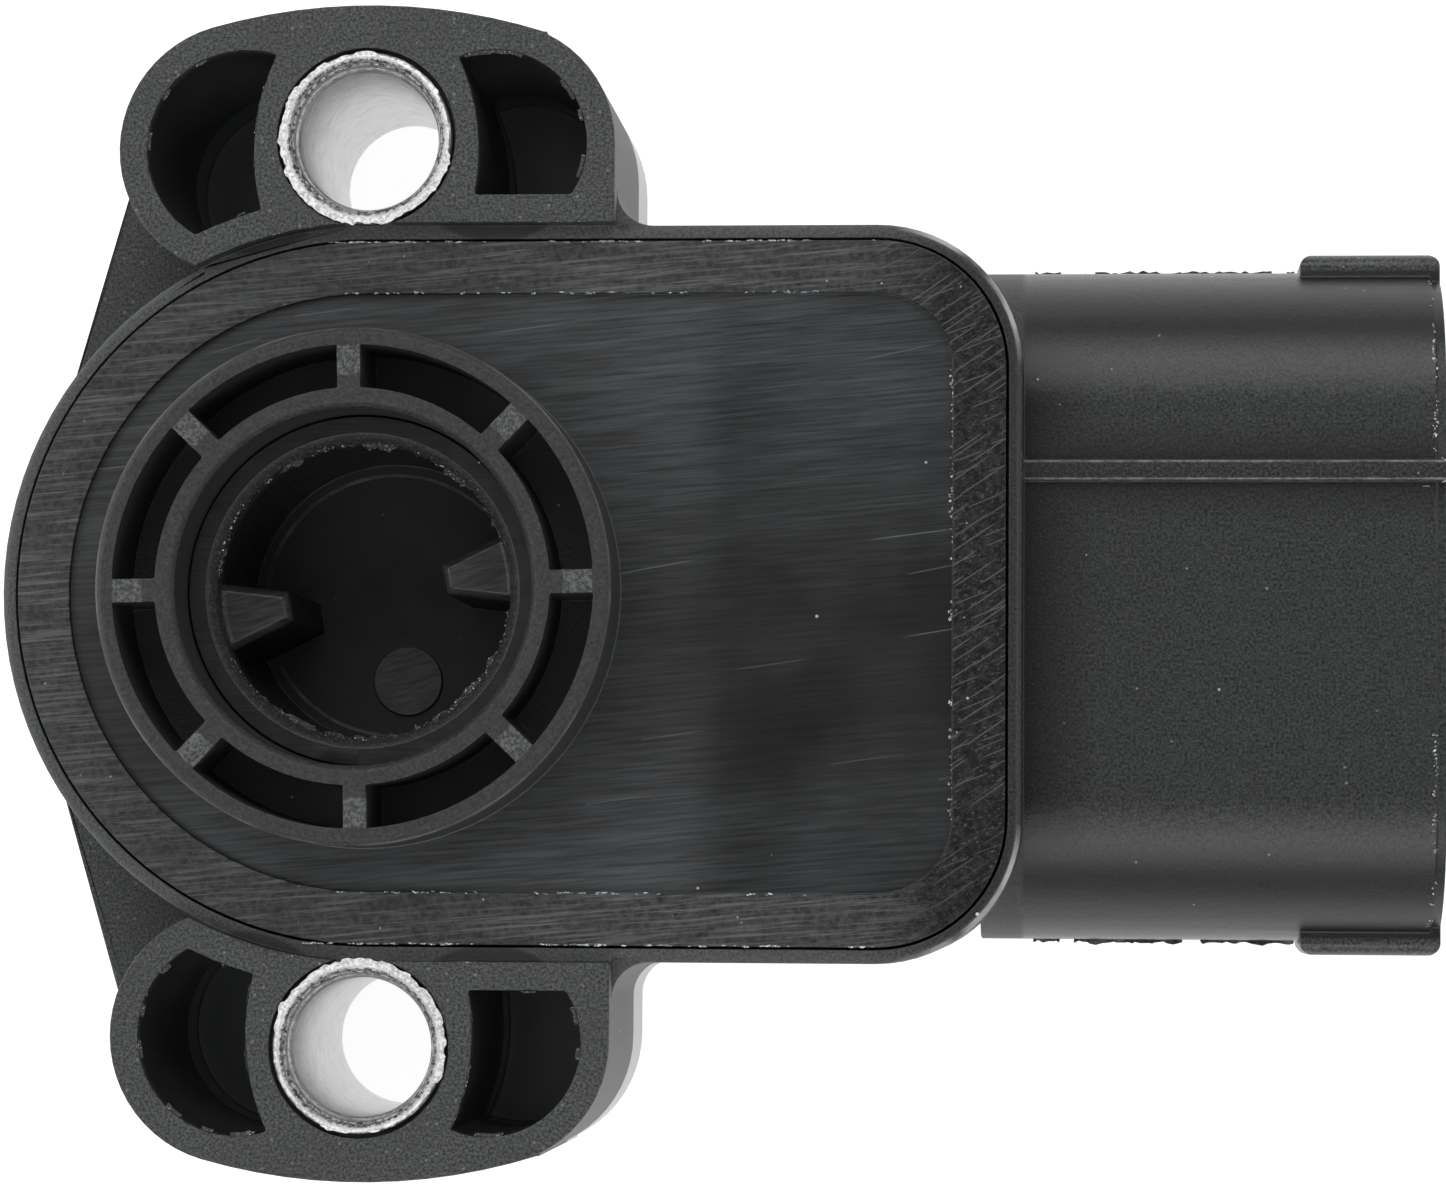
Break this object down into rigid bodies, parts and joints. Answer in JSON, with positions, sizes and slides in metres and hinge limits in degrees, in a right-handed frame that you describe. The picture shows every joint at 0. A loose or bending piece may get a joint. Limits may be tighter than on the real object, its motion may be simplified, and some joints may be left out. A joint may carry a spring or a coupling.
{
  "type": "throttle position sensor",
  "caption": "Rotary throttle position sensor: moulded housing with two screw ears, ribbed locating collar, spring-returned rotor with drive lugs and a flat blade connector.",
  "frame": {"origin": "on the rotor axis, in the plane of the screw bushings' rear ends, which bear on the throttle body", "axes": "+Z along the rotor axis to the throttle body, +X to the connector's mouth, +Y along the line of the two screw holes"},
  "size_m": [0.0511, 0.0414, 0.0187],
  "materials": {
    "housing_plastic": "fine spark-eroded texture",
    "cover_plastic": "moulded, with fine machining scratches on the border",
    "bushing_steel": "bright turned and plated",
    "rotor_plastic": "dark satin",
    "spring_steel": "drawn wire",
    "contact_alloy": "bright strip",
    "terminal_tin": "tinned strip",
    "board_laminate": "laminate with dark carbon tracks",
    "washer_plastic": "natural slip plastic"
  },
  "bodies": {
    "body": {"housing": "housing_plastic", "rear_cover": "cover_plastic", "upper_bushing": "bushing_steel", "lower_bushing": "bushing_steel", "wave_washer": "spring_steel", "return_spring": "spring_steel", "thrust_washer": "washer_plastic", "resistor_board": "board_laminate", "terminal_supply": "terminal_tin", "terminal_signal": "terminal_tin", "terminal_ground": "terminal_tin"},
    "rotor": {"rotor": "rotor_plastic", "wiper": "contact_alloy"}
  },
  "joints": [
    {"name": "rotor_turn", "type": "hinge", "parent": "body", "child": "rotor", "pos_m": [0, 0, 0], "axis": [0, 0, 1], "range_deg": [0, 100], "stiffness_Nm_per_rad": 0.002, "springref_deg": -17.19, "deforming": ["return_spring"]}
  ]
}
